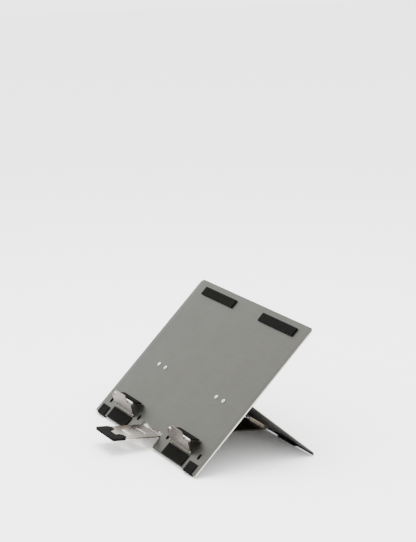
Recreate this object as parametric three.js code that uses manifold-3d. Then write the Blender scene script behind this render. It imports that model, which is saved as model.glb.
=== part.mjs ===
// Folding laptop stand made of sheet steel: a sloping plate, a rear leg hinged under it, a long arm that ties
// the foot of the leg to the plate, and two fold-up hooks for the front edge of a laptop.
// Millimetres, +Z up, +X to the right, the front towards -Y. The origin is on the floor under the middle.

import * as THREE from 'three';
import { mergeVertices } from 'three/addons/utils/BufferGeometryUtils.js';
import Module from 'manifold-3d';

const wasm = await Module();
wasm.setup();

// ---- Driving dimensions ----

const GAP = 0.3; // between two pieces that rest on each other
const RUN = 0.4; // side clearance between hinge knuckles
const ROUND = 16; // flat sides on a small round piece

// The plate, measured in its own slope: x across, s up the slope from the floor line, h above its upper face.
const PLATE_SLOPE = 45; // degrees
const PLATE_T = 1.5;
const PLATE_LIFT = 2.6; // the point s = 0, h = 0 is this high above the floor
const PLATE_BOTTOM_S = 1.4;
const PLATE_TOP_S = 223;
const FLAT_HALF = 133; // half width of the flat face
const RIM_RUN = 7.6; // width of the side strips beyond the flat face
const RIM_FALL = 0.4; // the side strips are bent down this far at their outer edge
const PLATE_CHAMFER = 5;

const CUTOUT_HALF = 26.5; // the arm passes through this notch in the bottom edge
const CUTOUT_TOP_S = 23.2;
const TOOTH_HALF = 13;
const TOOTH_TIP_S = 21.5;
const SLOT_W = 5;
const SLOT_L = 8;
const SLOT_S = 23.4;
const SLOT_X = { inner: 41, outer: 122.5 };
const BUSH_WALL = 0.8; // of the rubber bush in each slot
const BUSH_FRONT = 0.25; // how far it stands in front of the plate's face
const BUSH_BACK = 3.95; // and how far it reaches behind that face

// Rubber on the plate.
const FOOT_X = [113, 132];
const FOOT_TOP_S = 14.3;
const FOOT_FRONT = 1.3; // how far the foot stands in front of the plate
const FOOT_BACK = 3.7; // and how far behind it
const PAD_X = [52.8, 104.8];
const PAD_S = [2.4, 18.6];
const PAD_T = 1;
const TOP_PAD_X = [34, 116];
const TOP_PAD_S = [203, 215];
const TOP_PAD_T = 1.6;

// The rear leg and the hinge that it hangs from.
const LEG_SLOPE = 40; // degrees below the horizontal
const LEG_T = 1.2;
const LEG_HALF = 136;
const LEG_HINGE_S = 107;
const LEG_HINGE_H = -4.3;
const LEG_HINGE_X = 78;
const LEG_KNUCKLE_HALF = 7;
const LEAF_HALF = 15.4;
const LEAF_S = [88, 103.8];
const LEAF_T = 1.2;
const RIVET_X = 9;
const RIVET_S = 95;
const RIVET_R = 1.3;
const RIVET_HEAD_R = 2.8;
const RIVET_HEAD_H = 0.9;
const LEG_END_Z = 4.2; // height at which the sheet bends down into an upright lip
const LIP = 2.8; // height of that lip
const REAR_FOOT_X = [53, 95];
const REAR_FOOT_TALL = 6;
const REAR_FOOT_T = 1.3; // rubber on each side of the sheet

// A hinge barrel and its pin, used for the leg and for the arm.
const BARREL_R = 2.4;
const BARREL_BORE = 1.5;
const PIN_R = 1.1;
const PIN_HEAD_R = 1.9;
const PIN_HEAD_T = 1;

// The arm, hinged to the foot of the leg and passing forward through the notch.
const ARM_HINGE_Z = 3;
const ARM_T = 1.5;
const ARM_HALF = 25.4;
const ARM_KNUCKLE_HALF = 18.6;
const ARM_DROP = 1.9; // the sheet leaves the barrel this far below its axis
const ARM_TIP = [-48, 18]; // y and z of the tip, from the point s = 0, h = 0
const ARM_SLOT = { first: 27.8, pitch: 19, count: 6, half: 13, width: 4.4 };
const TIP_PAD = { half: 26, ahead: 1.8, behind: 18, t: 3.5, notchHalf: 9.5, notchFrom: 9.5, corner: 4 };
const TIP_NECK_HALF = 23.2; // the arm narrows to this inside the rubber

// The hooks. Each has a front flap with a tongue, and a ramp hinged behind it.
const HOOK_X = 78.8;
const HOOK_AXIS = [21.6, 2.3]; // s and h of the hinge at its base
const HOOK_LEAN = 58; // degrees between the raised flap and the plate
const HOOK_T = 1.2;
const HOOK_HALF = 27.4;
const HOOK_KNUCKLE_HALF = 21.5;
const HOOK_LUG_HALF = 25; // outer face of the plate's lugs for that hinge
const SHOULDER = 15.2; // length of the flap up to its shoulders, where the ramp's barrels show above it
const TONGUE = { tip: 23.6, foot: 15.6, head: 14.2 };
const SMALL_BARREL_R = 1.8;
const SMALL_BORE = 1.2;
const SMALL_PIN_R = 0.85;
const SMALL_HEAD_R = 1.4;
const SMALL_HEAD_T = 0.8;
const RAMP_AXIS = [14.6, -2.7]; // along the flap, and behind it
const RAMP_LEAN = 60; // degrees down from the plate's slope
const RAMP_LENGTH = 14.5;
const RAMP_HALF = 26.4;
const RAMP_KNUCKLE = [15, 21];
const RAMP_EAR = [5, 25.5]; // the flap's ears stand between these, on both sides of each knuckle
const RAMP_PAD = { half: 25, from: 3.5, to: 13.6, t: 1.4 };

const FLOOR_LINE_Y = -58.604; // puts the origin under the middle of the stand

// ---- Materials ----

function finish(color, roughness, metalness) {
  return () => new THREE.MeshStandardMaterial({ color, roughness, metalness });
}

const satinSteel = finish(0x83837c, 0.42, 0.9);
const brightSteel = finish(0xbcb4aa, 0.3, 1);
const pinSteel = finish(0xb4b4b0, 0.25, 1);
const padRubber = finish(0x171614, 0.9, 0);
const footRubber = finish(0x242322, 0.85, 0);

// ---- Solids ----

const radians = THREE.MathUtils.degToRad;
const X = new THREE.Vector3(1, 0, 0);
const Y = new THREE.Vector3(0, 1, 0);
const Z = new THREE.Vector3(0, 0, 1);

function solid(geometry) {
  const bare = geometry.index ? geometry.toNonIndexed() : geometry.clone();
  bare.deleteAttribute('normal');
  bare.deleteAttribute('uv');
  const merged = mergeVertices(bare, 1e-5);
  return new wasm.Manifold(new wasm.Mesh({
    numProp: 3,
    vertProperties: new Float32Array(merged.attributes.position.array),
    triVerts: new Uint32Array(merged.index.array),
  }));
}

function outline(points) {
  return new THREE.Shape(points.map(([a, b]) => new THREE.Vector2(a, b)));
}

function extruded(shape, depth, basis, shift) {
  const geometry = new THREE.ExtrudeGeometry(shape, { depth, bevelEnabled: false, curveSegments: 6 });
  geometry.applyMatrix4(new THREE.Matrix4().makeBasis(...basis));
  geometry.translate(...shift);
  return solid(geometry);
}

// A side view [y, z] carried across from x0 to x1.
function acrossX(points, x0, x1) {
  return extruded(outline(points), x1 - x0, [Y, Z, X], [x0, 0, 0]);
}

// An end view [x, z] carried along from y0 to y1.
function alongY(points, y0, y1) {
  return extruded(outline(points), y1 - y0, [X, Z, Y.clone().negate()], [0, y1, 0]);
}

// A plan view, a shape or a list of [x, y], carried up from z0 to z1.
function upZ(plan, z0, z1) {
  const shape = Array.isArray(plan) ? outline(plan) : plan;
  return extruded(shape, z1 - z0, [X, Y, Z], [0, 0, z0]);
}

function block([x0, x1], [y0, y1], [z0, z1]) {
  const geometry = new THREE.BoxGeometry(x1 - x0, y1 - y0, z1 - z0);
  geometry.translate((x0 + x1) / 2, (y0 + y1) / 2, (z0 + z1) / 2);
  return solid(geometry);
}

// A round bar along x.
function bar(radius, x0, x1, y = 0, z = 0) {
  const geometry = new THREE.CylinderGeometry(radius, radius, x1 - x0, ROUND);
  geometry.rotateZ(Math.PI / 2);
  geometry.translate((x0 + x1) / 2, y, z);
  return solid(geometry);
}

// A slot with round ends, w wide and l long; it runs up y, or across x.
function slotShape(x, y, w, l, across = false) {
  const shape = new THREE.Shape();
  const r = w / 2;
  const reach = l / 2 - r;
  if (across) {
    shape.absarc(x + reach, y, r, -Math.PI / 2, Math.PI / 2);
    shape.absarc(x - reach, y, r, Math.PI / 2, Math.PI * 1.5);
  } else {
    shape.absarc(x, y + reach, r, 0, Math.PI);
    shape.absarc(x, y - reach, r, Math.PI, Math.PI * 2);
  }
  return shape;
}

function union(...solids) {
  return solids.reduce((whole, next) => whole.add(next));
}

function piece(parent, name, body, material) {
  const { vertProperties, triVerts } = body.getMesh();
  const geometry = new THREE.BufferGeometry();
  geometry.setAttribute('position', new THREE.BufferAttribute(new Float32Array(vertProperties), 3));
  geometry.setIndex(new THREE.BufferAttribute(new Uint32Array(triVerts), 1));
  geometry.computeVertexNormals();
  const mesh = new THREE.Mesh(geometry, material());
  mesh.name = name;
  parent.add(mesh);
}

// A frame of its own inside another: placed in the side view and tipped about x.
function frame(parent, x, y, z, degrees) {
  const group = new THREE.Group();
  group.position.set(x, y, z);
  group.rotation.x = radians(degrees);
  parent.add(group);
  return group;
}

// A hinge pin with a head at both ends, half as long as `half` on each side of the middle.
function pinSolid(radius, headRadius, half, headT) {
  const shank = bar(radius, -half - headT / 2, half + headT / 2);
  return union(shank, bar(headRadius, half, half + headT), bar(headRadius, -half - headT, -half));
}

const SIDES = [['left', -1], ['right', 1]];

// ---- Where the hinges lie ----

const slopeCos = Math.cos(radians(PLATE_SLOPE));
const slopeSin = Math.sin(radians(PLATE_SLOPE));
const LEG_HINGE_Y = LEG_HINGE_S * slopeCos - LEG_HINGE_H * slopeSin;
const LEG_HINGE_Z = PLATE_LIFT + LEG_HINGE_S * slopeSin + LEG_HINGE_H * slopeCos;
const LEG_LENGTH = (LEG_HINGE_Z - ARM_HINGE_Z) / Math.sin(radians(LEG_SLOPE)); // hinge to hinge
const ARM_HINGE_Y = LEG_HINGE_Y + LEG_LENGTH * Math.cos(radians(LEG_SLOPE));
const armRun = ARM_HINGE_Y - ARM_TIP[0];
const armRise = PLATE_LIFT + ARM_TIP[1] - ARM_HINGE_Z;
const armReach = Math.hypot(armRun, armRise);
const ARM_SLOPE = THREE.MathUtils.radToDeg(Math.atan2(armRise, armRun) + Math.asin(ARM_DROP / armReach));
const ARM_LENGTH = Math.sqrt(armReach ** 2 - ARM_DROP ** 2);

// ---- Frames ----

const stand = new THREE.Group();
const ground = frame(stand, 0, FLOOR_LINE_Y, 0, 0);
const plateFrame = frame(ground, 0, 0, PLATE_LIFT, PLATE_SLOPE); // y is s, z is h
const legFrame = frame(ground, 0, LEG_HINGE_Y, LEG_HINGE_Z, -LEG_SLOPE); // y runs down the leg, z is its back
const armFrame = frame(ground, 0, ARM_HINGE_Y, ARM_HINGE_Z, -ARM_SLOPE); // the arm lies along -y

// ---- The plate ----

function hookLugs(x) {
  const [s, h] = HOOK_AXIS;
  const inner = HOOK_KNUCKLE_HALF + RUN;
  const outer = HOOK_LUG_HALF;
  let lugs = null;
  for (const side of [-1, 1]) {
    const span = [x + side * inner, x + side * outer].sort((a, b) => a - b);
    const barrel = bar(SMALL_BARREL_R, ...span, s, h);
    const stem = block(span, [s - SMALL_BARREL_R * 0.8, s + SMALL_BARREL_R * 0.8], [-PLATE_T / 2, h]);
    const lug = union(barrel, stem).subtract(bar(SMALL_BORE, x - outer - 1, x + outer + 1, s, h));
    lugs = lugs ? lugs.add(lug) : lug;
  }
  return lugs;
}

function mainPlate() {
  const rimX = FLAT_HALF + RIM_RUN;
  const profile = [
    [-rimX, -RIM_FALL - PLATE_T], [-FLAT_HALF, -PLATE_T], [FLAT_HALF, -PLATE_T],
    [rimX, -RIM_FALL - PLATE_T], [rimX, -RIM_FALL], [FLAT_HALF, 0], [-FLAT_HALF, 0], [-rimX, -RIM_FALL],
  ];
  let plate = alongY(profile, PLATE_BOTTOM_S, PLATE_TOP_S);
  const notch = [
    [-CUTOUT_HALF - 3, 0], [-CUTOUT_HALF, PLATE_BOTTOM_S + 3], [-CUTOUT_HALF, CUTOUT_TOP_S],
    [-TOOTH_HALF - 1.5, CUTOUT_TOP_S], [-TOOTH_HALF, TOOTH_TIP_S], [TOOTH_HALF, TOOTH_TIP_S],
    [TOOTH_HALF + 1.5, CUTOUT_TOP_S], [CUTOUT_HALF, CUTOUT_TOP_S], [CUTOUT_HALF, PLATE_BOTTOM_S + 3],
    [CUTOUT_HALF + 3, 0],
  ];
  plate = plate.subtract(upZ(notch.reverse(), -9, 9));
  for (const side of [-1, 1]) {
    // The upper corners are cut off.
    const corner = [
      [side * (rimX + 1), PLATE_TOP_S + 1], [side * (rimX - PLATE_CHAMFER), PLATE_TOP_S + 1],
      [side * (rimX + 1), PLATE_TOP_S - PLATE_CHAMFER],
    ];
    plate = plate.subtract(upZ(side > 0 ? corner : corner.reverse(), -9, 9));
    for (const x of Object.values(SLOT_X)) {
      plate = plate.subtract(upZ(slotShape(side * x, SLOT_S, SLOT_W, SLOT_L), -9, 9));
    }
    for (const offset of [-RIVET_X, RIVET_X]) {
      plate = plate.subtract(rivetHole(side * LEG_HINGE_X + offset));
    }
    plate = plate.add(hookLugs(side * HOOK_X));
  }
  return plate;
}

function rivetHole(x) {
  const shape = new THREE.Shape();
  shape.absarc(x, RIVET_S, RIVET_R + GAP + 0.05, 0, Math.PI * 2);
  return upZ(shape, -9, 9);
}

piece(plateFrame, 'main_plate', mainPlate(), satinSteel);

// ---- Rubber on the plate ----

// A point of the plate's side view in the ground's side view.
function fromSlope(s, h) {
  return [s * slopeCos - h * slopeSin, PLATE_LIFT + s * slopeSin + h * slopeCos];
}

// The sole lies square to the plate, and its rear corner is cut level to stand on the floor.
function frontFoot(x0, x1) {
  const front = FOOT_FRONT;
  const back = -PLATE_T - FOOT_BACK;
  const touch = -PLATE_LIFT / slopeCos; // h at which the sole meets the floor
  const side = [
    fromSlope(0.4, front), fromSlope(0, front - 0.4), fromSlope(0, touch), fromSlope(touch - back, back),
    fromSlope(FOOT_TOP_S - 1, back), fromSlope(FOOT_TOP_S, back + 1),
    fromSlope(FOOT_TOP_S, -PLATE_T - GAP), fromSlope(PLATE_BOTTOM_S - GAP, -PLATE_T - GAP),
    fromSlope(PLATE_BOTTOM_S - GAP, GAP), fromSlope(FOOT_TOP_S, GAP), fromSlope(FOOT_TOP_S, front - 0.4),
    fromSlope(FOOT_TOP_S - 0.4, front),
  ];
  return acrossX(side, x0, x1);
}

// A bush for one of the short slots, open through the middle.
function slotBush() {
  const inset = GAP + BUSH_WALL;
  const outer = slotShape(0, 0, SLOT_W - 2 * GAP, SLOT_L - 2 * GAP);
  const hole = slotShape(0, 0, SLOT_W - 2 * inset, SLOT_L - 2 * inset);
  return upZ(outer, -BUSH_BACK, BUSH_FRONT).subtract(upZ(hole, -9, 9));
}

for (const [name, side] of SIDES) {
  const span = (pair) => pair.map((x) => side * x).sort((a, b) => a - b);
  for (const [place, x] of Object.entries(SLOT_X)) {
    piece(frame(plateFrame, side * x, SLOT_S, 0, 0), `${name}_${place}_slot_bush`, slotBush(), padRubber);
  }
  piece(ground, `${name}_front_foot`, frontFoot(...span(FOOT_X)), footRubber);
  const pad = block(span(PAD_X), PAD_S, [GAP, GAP + PAD_T]);
  piece(plateFrame, `${name}_front_pad`, pad, padRubber);
  const strip = block(span(TOP_PAD_X), TOP_PAD_S, [GAP, GAP + TOP_PAD_T]);
  piece(plateFrame, `${name}_top_pad`, strip, padRubber);
}

// ---- The leg hinges ----

function hingeLeaf() {
  const [s, h] = [LEG_HINGE_S, LEG_HINGE_H];
  const top = -PLATE_T - GAP;
  const inner = LEG_KNUCKLE_HALF + RUN;
  let leaf = block([-LEAF_HALF, LEAF_HALF], LEAF_S, [top - LEAF_T, top]);
  for (const side of [-1, 1]) {
    const span = [side * inner, side * LEAF_HALF].sort((a, b) => a - b);
    leaf = leaf.add(block(span, [LEAF_S[1] - 1, s], [top - LEAF_T, top]));
    leaf = leaf.add(bar(BARREL_R, ...span, s, h));
  }
  leaf = leaf.subtract(bar(BARREL_BORE, -LEAF_HALF - 1, LEAF_HALF + 1, s, h));
  return leaf.subtract(rivetHole(-RIVET_X)).subtract(rivetHole(RIVET_X));
}

function rivet() {
  const leafUnder = -PLATE_T - GAP - LEAF_T - GAP;
  const profile = [
    [0, leafUnder - RIVET_HEAD_H], [RIVET_HEAD_R - 0.5, leafUnder - RIVET_HEAD_H],
    [RIVET_HEAD_R - 0.2, leafUnder], [RIVET_R, leafUnder], [RIVET_R, GAP], [RIVET_HEAD_R, GAP],
    [RIVET_HEAD_R * 0.75, GAP + RIVET_HEAD_H * 0.7], [0, GAP + RIVET_HEAD_H],
  ];
  const geometry = new THREE.LatheGeometry(profile.map(([r, z]) => new THREE.Vector2(r, z)), ROUND);
  geometry.rotateX(Math.PI / 2);
  return solid(geometry);
}

for (const [name, side] of SIDES) {
  const hinge = frame(plateFrame, side * LEG_HINGE_X, 0, 0, 0);
  piece(hinge, `${name}_leg_hinge_leaf`, hingeLeaf(), pinSteel);
  const pinFrame = frame(hinge, 0, LEG_HINGE_S, LEG_HINGE_H, 0);
  const pin = pinSolid(PIN_R, PIN_HEAD_R, LEAF_HALF + GAP, PIN_HEAD_T);
  piece(pinFrame, `${name}_leg_hinge_pin`, pin, pinSteel);
  for (const [place, offset] of [['inner', -side * RIVET_X], ['outer', side * RIVET_X]]) {
    piece(frame(hinge, offset, RIVET_S, 0, 0), `${name}_${place}_rivet`, rivet(), pinSteel);
  }
}

// ---- The rear leg ----

const legCos = Math.cos(radians(LEG_SLOPE));
const legSin = Math.sin(radians(LEG_SLOPE));
const LEG_END = (LEG_HINGE_Z - LEG_END_Z) / legSin;
const ARM_PIN_HALF = ARM_HALF + GAP;

// A point of the leg's side view in the ground's side view, and the other way round.
function fromLeg(n, out) {
  return [LEG_HINGE_Y + n * legCos + out * legSin, LEG_HINGE_Z - n * legSin + out * legCos];
}

function toLeg([y, z]) {
  const dy = y - LEG_HINGE_Y;
  const dz = z - LEG_HINGE_Z;
  return [dy * legCos - dz * legSin, dy * legSin + dz * legCos];
}

// The upright lip along the foot of the leg: its front face, back face and lower edge in the ground's frame.
const [LIP_FRONT, LIP_TOP] = fromLeg(LEG_END, -LEG_T / 2);
const LIP_BACK = LIP_FRONT + LEG_T;
const LIP_BOTTOM = LIP_TOP - LIP;

function rearLeg() {
  const clear = BARREL_R + RUN;
  const t = LEG_T / 2;
  const bendTop = fromLeg(LEG_END - 1, t);
  const lip = [
    [LIP_FRONT, LIP_TOP], [LIP_FRONT, LIP_BOTTOM], [LIP_BACK, LIP_BOTTOM], [LIP_BACK, LIP_TOP + 0.6],
    bendTop, fromLeg(LEG_END - 1, -t),
  ].map(toLeg);
  const sheet = block([-LEG_HALF, LEG_HALF], [clear, LEG_END - 0.5], [-t, t]);
  let leg = union(sheet, acrossX(lip, -LEG_HALF, LEG_HALF));
  // The foot of the leg is open in the middle for the arm's hinge.
  const pocketHalf = ARM_PIN_HALF + PIN_HEAD_T + RUN;
  leg = leg.subtract(block([-pocketHalf, pocketHalf], [LEG_LENGTH - clear, LEG_END + LIP + 3], [-9, 9]));
  for (const side of [-1, 1]) {
    const x = side * LEG_HINGE_X;
    const knuckle = [x - LEG_KNUCKLE_HALF, x + LEG_KNUCKLE_HALF];
    leg = leg.add(block(knuckle, [0, clear + 1], [-t, t])).add(bar(BARREL_R, ...knuckle));
    const ear = [side * (ARM_KNUCKLE_HALF + RUN), side * ARM_HALF].sort((a, b) => a - b);
    leg = leg.add(block(ear, [LEG_LENGTH - clear - 1, LEG_LENGTH], [-t, t]));
    leg = leg.add(bar(BARREL_R, ...ear, LEG_LENGTH));
  }
  leg = leg.subtract(bar(BARREL_BORE, -LEG_HALF - 1, LEG_HALF + 1));
  return leg.subtract(bar(BARREL_BORE, -ARM_HALF - 1, ARM_HALF + 1, LEG_LENGTH));
}

function rearFoot(x0, x1) {
  const near = LEG_T / 2 + GAP;
  const far = near + REAR_FOOT_T;
  const top = LEG_END - REAR_FOOT_TALL;
  const front = LIP_FRONT - GAP - REAR_FOOT_T;
  const back = LIP_BACK + GAP + REAR_FOOT_T;
  // Height of a line parallel to the leg, `out` behind it, over the point y.
  const over = (y, out) => LEG_HINGE_Z + (out - (y - LEG_HINGE_Y) * legSin) / legCos;
  const side = [
    [front, 0], [back, 0], [back, over(back, far)], fromLeg(top, far), fromLeg(top, near),
    [LIP_BACK + GAP, over(LIP_BACK + GAP, near)], [LIP_BACK + GAP, LIP_BOTTOM - GAP],
    [LIP_FRONT - GAP, LIP_BOTTOM - GAP], [LIP_FRONT - GAP, over(LIP_FRONT - GAP, -near)],
    fromLeg(top, -near), fromLeg(top, -far), [front, over(front, -far)],
  ];
  return acrossX(side, x0, x1);
}

piece(legFrame, 'rear_leg', rearLeg(), satinSteel);
for (const [name, side] of SIDES) {
  const span = REAR_FOOT_X.map((x) => side * x).sort((a, b) => a - b);
  piece(ground, `${name}_rear_foot`, rearFoot(...span), footRubber);
}

// ---- The arm ----

function crossArm() {
  const z = [-ARM_DROP - ARM_T / 2, -ARM_DROP + ARM_T / 2];
  const setBack = BARREL_R + 0.9;
  const shoulder = -ARM_LENGTH + TIP_PAD.behind + 2;
  const plan = [
    [-ARM_HALF, -setBack], [-ARM_HALF, shoulder], [-TIP_NECK_HALF, shoulder - 2],
    [-TIP_NECK_HALF, -ARM_LENGTH + 3], [-TIP_NECK_HALF + 3, -ARM_LENGTH], [TIP_NECK_HALF - 3, -ARM_LENGTH],
    [TIP_NECK_HALF, -ARM_LENGTH + 3], [TIP_NECK_HALF, shoulder - 2], [ARM_HALF, shoulder],
    [ARM_HALF, -setBack],
  ];
  let arm = upZ(plan, ...z);
  arm = arm.add(block([-ARM_KNUCKLE_HALF, ARM_KNUCKLE_HALF], [-setBack - 1, 0], z));
  arm = arm.add(bar(BARREL_R, -ARM_KNUCKLE_HALF, ARM_KNUCKLE_HALF));
  for (let i = 0; i < ARM_SLOT.count; i += 1) {
    const y = -ARM_LENGTH + ARM_SLOT.first + i * ARM_SLOT.pitch;
    arm = arm.subtract(upZ(slotShape(0, y, ARM_SLOT.width, 2 * ARM_SLOT.half, true), -9, 9));
  }
  return arm.subtract(bar(BARREL_BORE, -ARM_HALF, ARM_HALF));
}

function tipPad() {
  const { half, ahead, behind, t, notchHalf, notchFrom, corner } = TIP_PAD;
  const front = -ARM_LENGTH - ahead;
  const back = -ARM_LENGTH + behind;
  const notch = -ARM_LENGTH + notchFrom;
  const plan = [
    [-half, front + 2], [-half + 2, front], [half - 2, front], [half, front + 2], [half, back - corner],
    [half - corner, back], [notchHalf + corner, back], [notchHalf, back - corner], [notchHalf, notch],
    [-notchHalf, notch], [-notchHalf, back - corner], [-notchHalf - corner, back], [-half + corner, back],
    [-half, back - corner],
  ];
  const pad = upZ(plan, -ARM_DROP - t / 2, -ARM_DROP + t / 2);
  const pocketZ = ARM_T / 2 + GAP;
  const pocket = block(
    [-TIP_NECK_HALF - GAP, TIP_NECK_HALF + GAP], [-ARM_LENGTH - GAP, back + 1],
    [-ARM_DROP - pocketZ, -ARM_DROP + pocketZ],
  );
  return pad.subtract(pocket);
}

piece(armFrame, 'cross_arm', crossArm(), brightSteel);
piece(armFrame, 'arm_tip_pad', tipPad(), footRubber);
piece(armFrame, 'arm_hinge_pin', pinSolid(PIN_R, PIN_HEAD_R, ARM_PIN_HALF, PIN_HEAD_T), pinSteel);

// ---- The hooks ----

function hookFlap() {
  const t = HOOK_T / 2;
  const clear = SMALL_BARREL_R + 0.5;
  const plan = [
    [-HOOK_HALF, clear], [HOOK_HALF, clear], [HOOK_HALF, SHOULDER - 1], [HOOK_HALF - 1, SHOULDER],
    [TONGUE.foot, SHOULDER], [TONGUE.head, TONGUE.tip - 1], [TONGUE.head - 1, TONGUE.tip],
    [-TONGUE.head + 1, TONGUE.tip], [-TONGUE.head, TONGUE.tip - 1], [-TONGUE.foot, SHOULDER],
    [-HOOK_HALF + 1, SHOULDER], [-HOOK_HALF, SHOULDER - 1],
  ];
  let flap = upZ(plan, -t, t);
  flap = flap.add(block([-HOOK_KNUCKLE_HALF, HOOK_KNUCKLE_HALF], [0, clear + 1], [-t, t]));
  flap = flap.add(bar(SMALL_BARREL_R, -HOOK_KNUCKLE_HALF, HOOK_KNUCKLE_HALF));
  flap = flap.subtract(bar(SMALL_BORE, -HOOK_HALF, HOOK_HALF));
  const [y, z] = RAMP_AXIS;
  let ears = null;
  for (const side of [-1, 1]) {
    for (const pair of [[RAMP_EAR[0], RAMP_KNUCKLE[0] - RUN], [RAMP_KNUCKLE[1] + RUN, RAMP_EAR[1]]]) {
      const span = pair.map((x) => side * x).sort((a, b) => a - b);
      const stem = block(span, [y - 1.2, y + 1.2], [z, 0]);
      const ear = union(bar(SMALL_BARREL_R, ...span, y, z), stem);
      ears = ears ? ears.add(ear) : ear;
    }
  }
  return flap.add(ears.subtract(bar(SMALL_BORE, -HOOK_HALF, HOOK_HALF, y, z)));
}

function hookRamp() {
  const t = HOOK_T / 2;
  const clear = SMALL_BARREL_R + 0.6;
  let ramp = block([-RAMP_HALF, RAMP_HALF], [clear, RAMP_LENGTH], [-t, t]);
  for (const side of [-1, 1]) {
    const span = RAMP_KNUCKLE.map((x) => side * x).sort((a, b) => a - b);
    ramp = ramp.add(block(span, [0, clear + 1], [-t, t])).add(bar(SMALL_BARREL_R, ...span));
  }
  return ramp.subtract(bar(SMALL_BORE, -HOOK_HALF, HOOK_HALF));
}

for (const [name, side] of SIDES) {
  const [s, h] = HOOK_AXIS;
  const flapFrame = frame(plateFrame, side * HOOK_X, s, h, HOOK_LEAN);
  const rampFrame = frame(flapFrame, 0, ...RAMP_AXIS, -HOOK_LEAN - RAMP_LEAN);
  piece(flapFrame, `${name}_hook_flap`, hookFlap(), brightSteel);
  const hookPin = pinSolid(SMALL_PIN_R, SMALL_HEAD_R, HOOK_LUG_HALF + GAP, SMALL_HEAD_T);
  piece(flapFrame, `${name}_hook_pin`, hookPin, pinSteel);
  piece(rampFrame, `${name}_hook_ramp`, hookRamp(), brightSteel);
  const rampPin = pinSolid(SMALL_PIN_R, SMALL_HEAD_R, RAMP_EAR[1] + GAP, SMALL_HEAD_T);
  piece(rampFrame, `${name}_ramp_pin`, rampPin, pinSteel);
  const { half, from, to, t } = RAMP_PAD;
  const base = HOOK_T / 2 + GAP;
  piece(rampFrame, `${name}_ramp_pad`, block([-half, half], [from, to], [base, base + t]), padRubber);
}

export default stand;
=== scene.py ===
"""Folding sheet-steel laptop stand: the looks of every piece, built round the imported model, in metres."""

import math

import bmesh
import bpy
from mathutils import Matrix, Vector


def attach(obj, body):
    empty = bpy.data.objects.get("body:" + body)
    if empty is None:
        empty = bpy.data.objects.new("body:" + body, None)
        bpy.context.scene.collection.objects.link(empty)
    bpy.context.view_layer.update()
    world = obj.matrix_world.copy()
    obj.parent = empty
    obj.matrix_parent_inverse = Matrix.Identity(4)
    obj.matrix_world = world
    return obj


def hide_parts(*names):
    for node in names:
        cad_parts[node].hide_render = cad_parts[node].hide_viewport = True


bl_info = {
    "name": "Folding laptop stand",
    "version": (1, 0, 0),
    "blender": (4, 5, 0),
    "location": "3D View > Sidebar > Laptop stand",
    "description": "Builds the plate, leg, arm, hooks and rubber of a folding laptop stand",
    "category": "Add Mesh",
}

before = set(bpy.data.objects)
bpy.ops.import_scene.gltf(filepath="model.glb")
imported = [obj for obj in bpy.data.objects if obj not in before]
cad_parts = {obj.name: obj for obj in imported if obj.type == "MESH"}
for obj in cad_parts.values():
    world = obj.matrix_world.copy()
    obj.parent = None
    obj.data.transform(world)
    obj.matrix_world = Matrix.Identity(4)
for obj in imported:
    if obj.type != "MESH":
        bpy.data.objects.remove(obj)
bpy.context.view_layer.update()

MM = 0.001
SIDES = ("left", "right")
STAND_SLOPE = math.radians(45)
LEG_SLOPE = math.radians(-40)

SIDE_EDGE_X = 140.25 * MM  # beyond this a face of the plate belongs to its side edge
JOIN_WITHIN = 0.002 * MM  # corners of loose triangles closer than this are one corner
FLAT_WITHIN = math.radians(0.5)  # faces that meet at less than this are one flat area
LEG_SLIVER = 0.05 * MM  # the leg's top face narrows to less than this beside the arm's notch

# The plate's four short slots, and the rubber bush in each: a black lining whose dark walls also stand in
# for the shade inside the slots, a painted shade.
SLOTS = {
    "left_inner_slot_bush": -41 * MM,
    "right_inner_slot_bush": 41 * MM,
    "left_outer_slot_bush": -122.5 * MM,
    "right_outer_slot_bush": 122.5 * MM,
}
SLOT_S = 23.4 * MM
BUSH_HALF_W = 2.4 * MM
BUSH_REACH = 1.5 * MM
BUSH_WALL = 0.8 * MM
BUSH_TOP = 0.25 * MM
BUSH_DEPTH = 4.2 * MM
BUSH_SIDES = 32
# The axis of the ramps' hinges, seen from the side, and how far its rolls reach from it.
RAMP_AXIS_Y = -45.61 * MM
RAMP_AXIS_Z = 34.333 * MM
ROLL_REACH = 1.85 * MM
# The point on the plate's face from which distances up its slope are counted.
SLOPE_FOOT_Y = -58.604 * MM
SLOPE_FOOT_Z = 2.6 * MM
# How many patches of handling gloss and of dust there are to a metre.
CLOUD_SCALE = 28.0
DUST_SCALE = 90.0
FLOOR_SIZE = 12.0


# ---- Settings ----


class StandSizes(bpy.types.PropertyGroup):
    """How far the edges of each kind of piece are rounded"""

    sheet_edge: bpy.props.FloatProperty(
        name="Sheet edge",
        description="Rounding of the deburred edges of the plate, leg and arm",
        default=0.3 * MM,
        unit="LENGTH",
    )
    hook_edge: bpy.props.FloatProperty(
        name="Hook edge",
        description="Rounding of the polished edges of the hooks and their ramps",
        default=0.28 * MM,
        unit="LENGTH",
    )
    foot_edge: bpy.props.FloatProperty(
        name="Foot edge",
        description="Rounding of the moulded rubber front feet and the rubber on the arm",
        default=0.6 * MM,
        unit="LENGTH",
    )
    rear_foot_edge: bpy.props.FloatProperty(
        name="Rear foot edge",
        description="Rounding of the rear feet, whose walls are thinner",
        default=0.3 * MM,
        unit="LENGTH",
    )
    pad_edge: bpy.props.FloatProperty(
        name="Pad edge",
        description="Rounding of the die-cut rubber pads",
        default=0.25 * MM,
        unit="LENGTH",
    )
    pin_edge: bpy.props.FloatProperty(
        name="Pin edge",
        description="Rounding of the pin heads and rivets",
        default=0.22 * MM,
        unit="LENGTH",
    )


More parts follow.
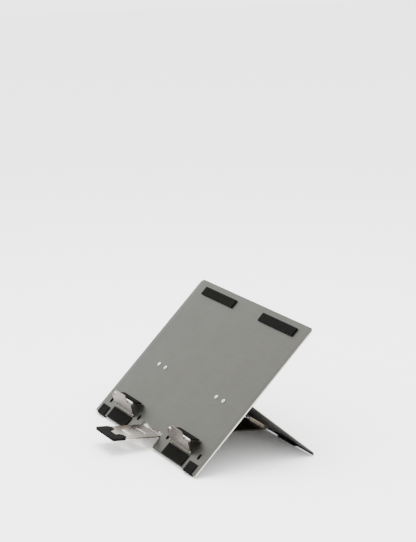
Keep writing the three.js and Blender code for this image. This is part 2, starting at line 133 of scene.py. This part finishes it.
class StandColours(bpy.types.PropertyGroup):
    """Colours of the finishes, as sRGB hex values"""

    satin: bpy.props.StringProperty(
        name="Satin steel", description="Plate and leg", default="4c4c47"
    )
    bright: bpy.props.StringProperty(
        name="Bright steel", description="Arm", default="958d83"
    )
    hook: bpy.props.StringProperty(
        name="Hook steel", description="Hooks and ramps", default="524b43"
    )
    # Painted highlight: far lighter than the plate, standing for the line of reflected light down each side
    # edge.
    sheared: bpy.props.StringProperty(
        name="Painted edge highlight", description="The plate's two long side edges", default="bdbab4"
    )
    # Painted highlight: the rolls' near-white colour stands for the line of light they catch, not the
    # steel's own colour.
    roll: bpy.props.StringProperty(
        name="Painted roll highlight",
        description="The rolls of the hooks that their ramps hang from",
        default="ece8e0",
    )
    pin: bpy.props.StringProperty(
        name="Drawn steel", description="Pins, rivets and hinge leaves", default="b9b8b4"
    )
    pad: bpy.props.StringProperty(
        name="Pad rubber", description="Flat pads on the plate and ramps", default="060605"
    )
    foot: bpy.props.StringProperty(
        name="Foot rubber", description="Feet and the arm's tip", default="0a0a09"
    )
    floor: bpy.props.StringProperty(
        name="Floor", description="Plain pale studio floor", default="fafafa"
    )


class StandStudio(bpy.types.PropertyGroup):
    """Camera and light"""

    camera_at: bpy.props.FloatVectorProperty(
        name="Camera",
        description="Where the camera stands",
        default=(1.7664, -0.8906, 0.6810),
        subtype="XYZ",
    )
    camera_along: bpy.props.FloatVectorProperty(
        name="Direction",
        description="Where the camera looks",
        default=(-0.8621, 0.4510, -0.2311),
        subtype="XYZ",
    )
    lens: bpy.props.FloatProperty(
        name="Lens", description="Focal length on a 36 mm frame, in millimetres", default=111.46
    )
    sky: bpy.props.FloatProperty(name="Sky", description="Strength of the even white light", default=3.4)


# ---- Materials ----


def linear(hex_colour):
    """An sRGB hex value as linear red, green, blue and alpha."""
    parts = [int(hex_colour[i : i + 2], 16) / 255 for i in (0, 2, 4)]
    return [c / 12.92 if c <= 0.04045 else ((c + 0.055) / 1.055) ** 2.4 for c in parts] + [1.0]


def add_node(tree, kind, inputs=None, **settings):
    """Adds a node. Each input is a plain value, or an output socket to link from."""
    made = tree.nodes.new(kind)
    for name, value in settings.items():
        setattr(made, name, value)
    for name, value in (inputs or {}).items():
        if isinstance(value, bpy.types.NodeSocket):
            tree.links.new(value, made.inputs[name])
        else:
            made.inputs[name].default_value = value
    return made


def start_material(name):
    """An empty node material with its output, and the piece's own coordinates."""
    material = bpy.data.materials.new(name)
    material.use_nodes = True
    tree = material.node_tree
    tree.nodes.clear()
    output = add_node(tree, "ShaderNodeOutputMaterial")
    place = add_node(tree, "ShaderNodeTexCoord").outputs["Object"]
    return material, tree, output, place


def steel(name, colour, dark, turn, grain_mm, stroke_mm, rough, bump_mm):
    """Sheet steel: fine strokes along x, and slow cloudy changes of gloss where it was handled."""
    material, tree, output, place = start_material(name)
    along = 1 / (stroke_mm * MM)
    across = 1 / (grain_mm * MM)
    turned = add_node(
        tree, "ShaderNodeMapping", {"Vector": place, "Rotation": (-turn, 0, 0)}, vector_type="TEXTURE"
    )
    stretched = add_node(
        tree,
        "ShaderNodeMapping",
        {"Vector": turned.outputs["Vector"], "Scale": (along, across, across)},
    )
    strokes = add_node(
        tree,
        "ShaderNodeTexNoise",
        {"Vector": stretched.outputs["Vector"], "Scale": 1.0, "Detail": 3.0, "Roughness": 0.6},
    )
    clouds = add_node(
        tree,
        "ShaderNodeTexNoise",
        {"Vector": place, "Scale": CLOUD_SCALE, "Detail": 4.0, "Roughness": 0.55},
    )
    tone = add_node(
        tree,
        "ShaderNodeMapRange",
        {"Value": strokes.outputs["Fac"], "From Min": 0.3, "From Max": 0.7, "To Min": 0.0, "To Max": 1.0},
    )
    colours = add_node(
        tree,
        "ShaderNodeMix",
        {"Factor": tone.outputs["Result"], "A": linear(dark), "B": linear(colour)},
        data_type="RGBA",
    )
    both = add_node(
        tree,
        "ShaderNodeMath",
        {0: strokes.outputs["Fac"], 1: clouds.outputs["Fac"]},
        operation="ADD",
    )
    gloss = add_node(
        tree,
        "ShaderNodeMapRange",
        {
            "Value": both.outputs["Value"],
            "From Min": 0.7,
            "From Max": 1.3,
            "To Min": rough[0],
            "To Max": rough[1],
        },
    )
    relief = add_node(
        tree,
        "ShaderNodeBump",
        {"Height": strokes.outputs["Fac"], "Strength": 0.35, "Distance": bump_mm * MM},
    )
    shader = add_node(
        tree,
        "ShaderNodeBsdfPrincipled",
        {
            "Base Color": colours.outputs["Result"],
            "Metallic": 1.0,
            "Roughness": gloss.outputs["Result"],
            "Normal": relief.outputs["Normal"],
        },
    )
    tree.links.new(shader.outputs["BSDF"], output.inputs["Surface"])
    return material


def rubber(name, colour, worn, grit_mm, bump_mm, rough, shine):
    """Black rubber: a fine grit from the mould or the sheet, and paler dust in broad soft patches."""
    material, tree, output, place = start_material(name)
    grit = add_node(
        tree,
        "ShaderNodeTexNoise",
        {"Vector": place, "Scale": 1 / (grit_mm * MM), "Detail": 2.0, "Roughness": 0.5},
    )
    dust = add_node(
        tree,
        "ShaderNodeTexNoise",
        {"Vector": place, "Scale": DUST_SCALE, "Detail": 5.0, "Roughness": 0.65},
    )
    amount = add_node(
        tree,
        "ShaderNodeMapRange",
        {"Value": dust.outputs["Fac"], "From Min": 0.45, "From Max": 0.75, "To Min": 0.0, "To Max": 0.6},
    )
    colours = add_node(
        tree,
        "ShaderNodeMix",
        {"Factor": amount.outputs["Result"], "A": linear(colour), "B": linear(worn)},
        data_type="RGBA",
    )
    gloss = add_node(
        tree,
        "ShaderNodeMapRange",
        {
            "Value": grit.outputs["Fac"],
            "From Min": 0.3,
            "From Max": 0.7,
            "To Min": rough[0],
            "To Max": rough[1],
        },
    )
    relief = add_node(
        tree, "ShaderNodeBump", {"Height": grit.outputs["Fac"], "Strength": 0.5, "Distance": bump_mm * MM}
    )
    shader = add_node(
        tree,
        "ShaderNodeBsdfPrincipled",
        {
            "Base Color": colours.outputs["Result"],
            "Roughness": gloss.outputs["Result"],
            "IOR": 1.52,
            "Specular IOR Level": shine,
            "Normal": relief.outputs["Normal"],
        },
    )
    tree.links.new(shader.outputs["BSDF"], output.inputs["Surface"])
    return material


MATERIALS = {}


def make_materials(colours):
    """The finishes of the stand."""
    # Satin stainless sheet, belt-grained across its width: an even mid grey with a soft sheen. Real grain
    # is under 0.1 mm, so it is drawn at 0.5 mm to show.
    MATERIALS["satin_plate"] = steel(
        "satin_stainless_belt_grained", colours.satin, "43433f", STAND_SLOPE, 0.5, 22, (0.36, 0.48), 0.012
    )
    MATERIALS["satin_leg"] = steel(
        "satin_stainless_belt_grained_leg",
        colours.satin,
        "43433f",
        LEG_SLOPE,
        0.5,
        22,
        (0.34, 0.46),
        0.012,
    )
    # Bright stainless strip, lightly polished after it was cut: warm, with near-mirror lights on its bends.
    MATERIALS["bright"] = steel(
        "bright_stainless_polished", colours.bright, "887f74", 0, 0.4, 14, (0.16, 0.27), 0.006
    )
    # The same strip on the hooks, folded and tumbled: browner and a little duller. The line of light on its
    # rolls is a painted highlight, given in the rolls' own near-white colour.
    MATERIALS["hook"] = steel(
        "bright_stainless_tumbled", colours.hook, "474139", 0, 0.4, 9, (0.24, 0.36), 0.006
    )
    # The plate's two long side edges, coloured far lighter than the plate: a painted highlight for the thin
    # line of reflected light down each side.
    MATERIALS["sheared"] = steel(
        "stainless_sheared_edge_bright", colours.sheared, "a9a6a0", STAND_SLOPE, 0.4, 4, (0.3, 0.42), 0.008
    )
    # Steel rolled round a pin, smooth, and coloured near white: a painted highlight for the thin white line
    # of light on each shoulder.
    MATERIALS["roll"] = steel(
        "bright_stainless_roll_painted_highlight", colours.roll, "ddd8ce", 0, 0.35, 9, (0.1, 0.18), 0.004
    )
    # Drawn and turned steel of pins and rivets: smooth, with faint rings.
    MATERIALS["pin"] = steel("drawn_steel_turned", colours.pin, "a3a29e", 0, 0.35, 3, (0.2, 0.32), 0.006)
    # Nitrile sheet, die-cut: dull black with a slightly open surface, grit drawn at 0.7 mm.
    MATERIALS["pad"] = rubber(
        "nitrile_rubber_die_cut", colours.pad, "0e0d0b", 0.7, 0.05, (0.78, 0.95), 0.04
    )
    # Moulded rubber: a little smoother and greyer than the sheet, with a soft light on its rounded edges.
    MATERIALS["foot"] = rubber(
        "elastomer_rubber_moulded", colours.foot, "161513", 0.6, 0.03, (0.62, 0.78), 0.02
    )


# ---- Modelling helpers ----


def pick(obj):
    """Leaves only this object selected and active."""
    bpy.ops.object.select_all(action="DESELECT")
    obj.select_set(True)
    bpy.context.view_layer.objects.active = obj


def copy_of_node(node, name, sliver=0.0):
    """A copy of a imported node: its triangles joined, its slivers closed, its flat areas made whole."""
    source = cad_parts[node]
    made = source.copy()
    made.data = source.data.copy()
    made.name = name
    made.data.name = name
    made.parent = None
    bpy.context.collection.objects.link(made)
    pick(made)
    bpy.ops.object.mode_set(mode="EDIT")
    bpy.ops.mesh.select_all(action="SELECT")
    bpy.ops.mesh.remove_doubles(threshold=JOIN_WITHIN)
    if sliver:
        bpy.ops.mesh.dissolve_degenerate(threshold=sliver)
    bpy.ops.mesh.select_all(action="SELECT")
    bpy.ops.mesh.dissolve_limited(angle_limit=FLAT_WITHIN)
    bpy.ops.object.mode_set(mode="OBJECT")
    bpy.ops.mesh.customdata_custom_splitnormals_clear()
    return made


def round_edges(obj, width, segments=2, sharper_than=4):
    """Rounds every edge sharper than an angle in degrees, and keeps the flat areas flat in the light."""
    pick(obj)
    bpy.ops.object.shade_smooth()
    bevel = obj.modifiers.new("edges", "BEVEL")
    bevel.width = width
    bevel.segments = segments
    bevel.limit_method = "ANGLE"
    bevel.angle_limit = math.radians(sharper_than)
    bevel.use_clamp_overlap = True
    bpy.ops.object.modifier_apply(modifier=bevel.name)
    steady = obj.modifiers.new("normals", "WEIGHTED_NORMAL")
    steady.weight = 100
    bpy.ops.object.modifier_apply(modifier=steady.name)


def paint_roll_highlights(obj):
    """Gives the rolls round the ramps' hinge axis the near-white colour that paints their highlight."""
    obj.data.materials.append(MATERIALS["roll"])
    for face in obj.data.polygons:
        if math.hypot(face.center.y - RAMP_AXIS_Y, face.center.z - RAMP_AXIS_Z) < ROLL_REACH:
            face.material_index = 1


def slot_bush(name):
    """A rubber bush for a short slot, round-ended and open in the middle, lying flat at the origin."""
    bpy.ops.object.select_all(action="DESELECT")
    bpy.ops.mesh.primitive_cylinder_add(vertices=BUSH_SIDES, radius=BUSH_HALF_W, depth=BUSH_DEPTH)
    bush = bpy.context.object
    bush.name = name
    bush.data.name = name
    bpy.ops.object.mode_set(mode="EDIT")
    for up in (1, -1):
        select_where(bush, "VERT", lambda v: v.co.y * up > 0.01 * MM)
        bpy.ops.transform.translate(value=(0, up * BUSH_REACH, 0))
    select_where(bush, "FACE", lambda f: abs(f.normal.z) > 0.9)
    bpy.ops.mesh.inset(thickness=BUSH_WALL)
    bpy.ops.mesh.bridge_edge_loops()
    bpy.ops.mesh.select_all(action="SELECT")
    bpy.ops.mesh.normals_make_consistent(inside=False)
    bpy.ops.object.mode_set(mode="OBJECT")
    return bush


def select_where(obj, kind, wanted):
    """In edit mode, selects only the vertices or faces that pass a test."""
    bpy.ops.mesh.select_mode(type=kind)
    bpy.ops.mesh.select_all(action="DESELECT")
    mesh = bmesh.from_edit_mesh(obj.data)
    for part in mesh.verts if kind == "VERT" else mesh.faces:
        part.select = wanted(part)
    mesh.select_flush_mode()
    bmesh.update_edit_mesh(obj.data)


def own_copy(obj, name):
    """A copy of a finished shape with its own mesh."""
    made = obj.copy()
    made.data = obj.data.copy()
    made.name = name
    made.data.name = name
    bpy.context.collection.objects.link(made)
    return made


def on_slope(x, up_slope, out):
    """A point given across the plate, up its slope and out from its face."""
    y = up_slope * math.cos(STAND_SLOPE) - out * math.sin(STAND_SLOPE)
    z = up_slope * math.sin(STAND_SLOPE) + out * math.cos(STAND_SLOPE)
    return Vector((x, SLOPE_FOOT_Y + y, SLOPE_FOOT_Z + z))


def settle(obj, place, slope):
    """Puts a shape made at the origin in its place at a slope, and makes that its own zero."""
    pick(obj)
    obj.location = place
    obj.rotation_euler = (slope, 0, 0)
    bpy.ops.object.transform_apply(location=True, rotation=True, scale=True)


def finish_piece(obj, body, slot, material, *nodes):
    """Gives a piece its finish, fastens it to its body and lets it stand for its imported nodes."""
    obj.data.materials.clear()
    obj.data.materials.append(MATERIALS[material])
    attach(obj, body)
    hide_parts(*nodes)


# ---- Pieces ----


class STAND_OT_finishes(bpy.types.Operator):
    """The finishes of the steel and the rubber, which every piece needs first"""

    bl_idname = "stand.finishes"
    bl_label = "Finishes"

    def execute(self, context):
        make_materials(context.scene.stand_colours)
        return {"FINISHED"}


class STAND_OT_plate(bpy.types.Operator):
    """The sloping plate with its notch, tooth, hinge lugs, side edges coloured light as a painted
    highlight, and slot bushes whose black walls also stand in for shade
    """

    bl_idname = "stand.plate"
    bl_label = "Plate"

    def execute(self, context):
        sizes = context.scene.stand_sizes
        plate = copy_of_node("main_plate", "plate_sheet")
        round_edges(plate, sizes.sheet_edge, sharper_than=2)
        finish_piece(plate, "plate", "satin_steel", "satin_plate", "main_plate")
        # Painted highlight: faces beyond SIDE_EDGE_X get the light side-edge colour, standing for the line
        # of reflected light down each side.
        plate.data.materials.append(MATERIALS["sheared"])
        for face in plate.data.polygons:
            if abs(face.center.x) > SIDE_EDGE_X:
                face.material_index = 1
        # Black rubber bushes in the slots: their dark walls are partly painted shade, standing in for the
        # shade that falls inside the slots.
        pattern = slot_bush("slot_bush")
        for node, x in SLOTS.items():
            bush = own_copy(pattern, f"{node}_moulded")
            settle(bush, on_slope(x, SLOT_S, BUSH_TOP - BUSH_DEPTH / 2), STAND_SLOPE)
            round_edges(bush, sizes.pad_edge, sharper_than=30)
            finish_piece(bush, "plate", "pad_rubber", "pad", node)
        bpy.data.objects.remove(pattern)
        return {"FINISHED"}


class STAND_OT_leg(bpy.types.Operator):
    """The rear leg with its knuckles and the lip along its foot"""

    bl_idname = "stand.leg"
    bl_label = "Rear leg"

    def execute(self, context):
        sizes = context.scene.stand_sizes
        leg = copy_of_node("rear_leg", "leg_sheet", sliver=LEG_SLIVER)
        round_edges(leg, sizes.sheet_edge * 0.8)
        finish_piece(leg, "leg", "satin_steel", "satin_leg", "rear_leg")
        return {"FINISHED"}


class STAND_OT_arm(bpy.types.Operator):
    """The slotted cross arm, the rubber on its tip, and its hinge pin"""

    bl_idname = "stand.arm"
    bl_label = "Cross arm"

    def execute(self, context):
        sizes = context.scene.stand_sizes
        arm = copy_of_node("cross_arm", "arm_strip")
        round_edges(arm, sizes.sheet_edge)
        finish_piece(arm, "arm", "bright_steel", "bright", "cross_arm")
        tip = copy_of_node("arm_tip_pad", "arm_tip_rubber")
        round_edges(tip, sizes.foot_edge, segments=3)
        finish_piece(tip, "arm", "foot_rubber", "foot", "arm_tip_pad")
        pin = copy_of_node("arm_hinge_pin", "arm_hinge_rod")
        round_edges(pin, sizes.pin_edge, sharper_than=40)
        finish_piece(pin, "leg", "pin_steel", "pin", "arm_hinge_pin")
        return {"FINISHED"}


class STAND_OT_hooks(bpy.types.Operator):
    """The two hooks: flaps with tongues, ramps with rubber strips, and their pins"""

    bl_idname = "stand.hooks"
    bl_label = "Hooks"

    def execute(self, context):
        sizes = context.scene.stand_sizes
        for side in SIDES:
            flap = copy_of_node(f"{side}_hook_flap", f"{side}_flap")
            round_edges(flap, sizes.hook_edge)
            finish_piece(flap, f"{side}_hook", "bright_steel", "hook", f"{side}_hook_flap")
            paint_roll_highlights(flap)
            ramp = copy_of_node(f"{side}_hook_ramp", f"{side}_ramp")
            round_edges(ramp, sizes.hook_edge)
            finish_piece(ramp, f"{side}_ramp", "bright_steel", "hook", f"{side}_hook_ramp")
            paint_roll_highlights(ramp)
            strip = copy_of_node(f"{side}_ramp_pad", f"{side}_ramp_strip")
            round_edges(strip, sizes.pad_edge)
            finish_piece(strip, f"{side}_ramp", "pad_rubber", "pad", f"{side}_ramp_pad")
            for kind, body in (("hook_pin", "plate"), ("ramp_pin", f"{side}_hook")):
                pin = copy_of_node(f"{side}_{kind}", f"{side}_{kind}_rod")
                round_edges(pin, sizes.pin_edge, sharper_than=40)
                finish_piece(pin, body, "pin_steel", "pin", f"{side}_{kind}")
        return {"FINISHED"}


class STAND_OT_leg_hinges(bpy.types.Operator):
    """The riveted hinge leaves under the plate, their rivets and pins"""

    bl_idname = "stand.leg_hinges"
    bl_label = "Leg hinges"

    def execute(self, context):
        sizes = context.scene.stand_sizes
        for side in SIDES:
            leaf = copy_of_node(f"{side}_leg_hinge_leaf", f"{side}_hinge_leaf")
            round_edges(leaf, sizes.pin_edge)
            finish_piece(leaf, "plate", "pin_steel", "pin", f"{side}_leg_hinge_leaf")
            for kind in ("leg_hinge_pin", "inner_rivet", "outer_rivet"):
                pin = copy_of_node(f"{side}_{kind}", f"{side}_{kind}_turned")
                round_edges(pin, sizes.pin_edge, sharper_than=30)
                finish_piece(pin, "plate", "pin_steel", "pin", f"{side}_{kind}")
        return {"FINISHED"}


class STAND_OT_rubber(bpy.types.Operator):
    """The feet and the flat pads on the plate"""

    bl_idname = "stand.rubber"
    bl_label = "Feet and pads"

    def execute(self, context):
        sizes = context.scene.stand_sizes
        for side in SIDES:
            for node, body, edge in (
                ("front_foot", "plate", sizes.foot_edge),
                ("rear_foot", "leg", sizes.rear_foot_edge),
            ):
                foot = copy_of_node(f"{side}_{node}", f"{side}_{node}_rubber")
                round_edges(foot, edge, segments=3)
                finish_piece(foot, body, "foot_rubber", "foot", f"{side}_{node}")
            for node in ("front_pad", "top_pad"):
                pad = copy_of_node(f"{side}_{node}", f"{side}_{node}_rubber")
                round_edges(pad, sizes.pad_edge)
                finish_piece(pad, "plate", "pad_rubber", "pad", f"{side}_{node}")
        return {"FINISHED"}


# ---- Studio ----


def area_light(name, place, aim, size, power):
    """A soft square light at a place, turned to a point."""
    data = bpy.data.lights.new(name, "AREA")
    data.size = size
    data.energy = power
    lamp = bpy.data.objects.new(name, data)
    lamp.location = place
    lamp.rotation_euler = (Vector(aim) - Vector(place)).to_track_quat("-Z", "Y").to_euler()
    bpy.context.collection.objects.link(lamp)


class STAND_OT_studio(bpy.types.Operator):
    """The plain pale floor, the soft light and the camera"""

    bl_idname = "stand.studio"
    bl_label = "Studio"

    def execute(self, context):
        studio = context.scene.stand_studio
        bpy.ops.object.select_all(action="DESELECT")
        bpy.ops.mesh.primitive_plane_add(size=FLOOR_SIZE, location=(0, 0, 0))
        floor = context.object
        floor.name = "floor"
        material, tree, output, place = start_material("studio_floor_matt_paint")
        mottle = add_node(tree, "ShaderNodeTexNoise", {"Vector": place, "Scale": 3.0, "Detail": 2.0})
        gloss = add_node(
            tree,
            "ShaderNodeMapRange",
            {"Value": mottle.outputs["Fac"], "To Min": 0.75, "To Max": 0.85},
        )
        shader = add_node(
            tree,
            "ShaderNodeBsdfPrincipled",
            {"Base Color": linear(context.scene.stand_colours.floor), "Roughness": gloss.outputs["Result"]},
        )
        tree.links.new(shader.outputs["BSDF"], output.inputs["Surface"])
        floor.data.materials.append(material)

        world = bpy.data.worlds.new("studio")
        context.scene.world = world
        world.use_nodes = True
        back = world.node_tree.nodes["Background"]
        back.inputs["Color"].default_value = (1.0, 1.0, 1.0, 1.0)
        back.inputs["Strength"].default_value = studio.sky

        area_light("top_softbox", (-0.1, 0.1, 1.7), (0, 0, 0), 1.2, 46)
        area_light("front_softbox", (0.5, -1.6, 1.1), (0, 0, 0.05), 0.8, 5)
        area_light("side_softbox", (1.9, 0.25, 0.32), (0, 0.05, 0.03), 0.6, 14)

        data = bpy.data.cameras.new("camera")
        data.lens = studio.lens
        data.sensor_width = 36
        data.clip_end = 50
        camera = bpy.data.objects.new("camera", data)
        camera.location = studio.camera_at
        camera.rotation_euler = Vector(studio.camera_along).to_track_quat("-Z", "Y").to_euler()
        context.collection.objects.link(camera)
        context.scene.camera = camera
        return {"FINISHED"}


OPERATORS = (
    STAND_OT_finishes,
    STAND_OT_plate,
    STAND_OT_leg,
    STAND_OT_arm,
    STAND_OT_hooks,
    STAND_OT_leg_hinges,
    STAND_OT_rubber,
    STAND_OT_studio,
)


class STAND_PT_panel(bpy.types.Panel):
    """Every step of the build, in order"""

    bl_idname = "STAND_PT_panel"
    bl_label = "Laptop stand"
    bl_space_type = "VIEW_3D"
    bl_region_type = "UI"
    bl_category = "Laptop stand"

    def draw(self, context):
        for name in SETTINGS:
            group = getattr(context.scene, name)
            box = self.layout.box()
            for key in group.__annotations__:
                box.prop(group, key)
        for step in OPERATORS:
            self.layout.operator(step.bl_idname)


SETTINGS = {"stand_sizes": StandSizes, "stand_colours": StandColours, "stand_studio": StandStudio}


def register():
    for name, group in SETTINGS.items():
        bpy.utils.register_class(group)
        setattr(bpy.types.Scene, name, bpy.props.PointerProperty(type=group))
    for step in OPERATORS:
        bpy.utils.register_class(step)
    bpy.utils.register_class(STAND_PT_panel)


def unregister():
    bpy.utils.unregister_class(STAND_PT_panel)
    for step in reversed(OPERATORS):
        bpy.utils.unregister_class(step)
    for name, group in SETTINGS.items():
        delattr(bpy.types.Scene, name)
        bpy.utils.unregister_class(group)


def main():
    register()
    bpy.ops.stand.finishes()
    bpy.ops.stand.plate()
    bpy.ops.stand.leg()
    bpy.ops.stand.arm()
    bpy.ops.stand.hooks()
    bpy.ops.stand.leg_hinges()
    bpy.ops.stand.rubber()
    bpy.ops.stand.studio()


if __name__ == "__main__":
    main()
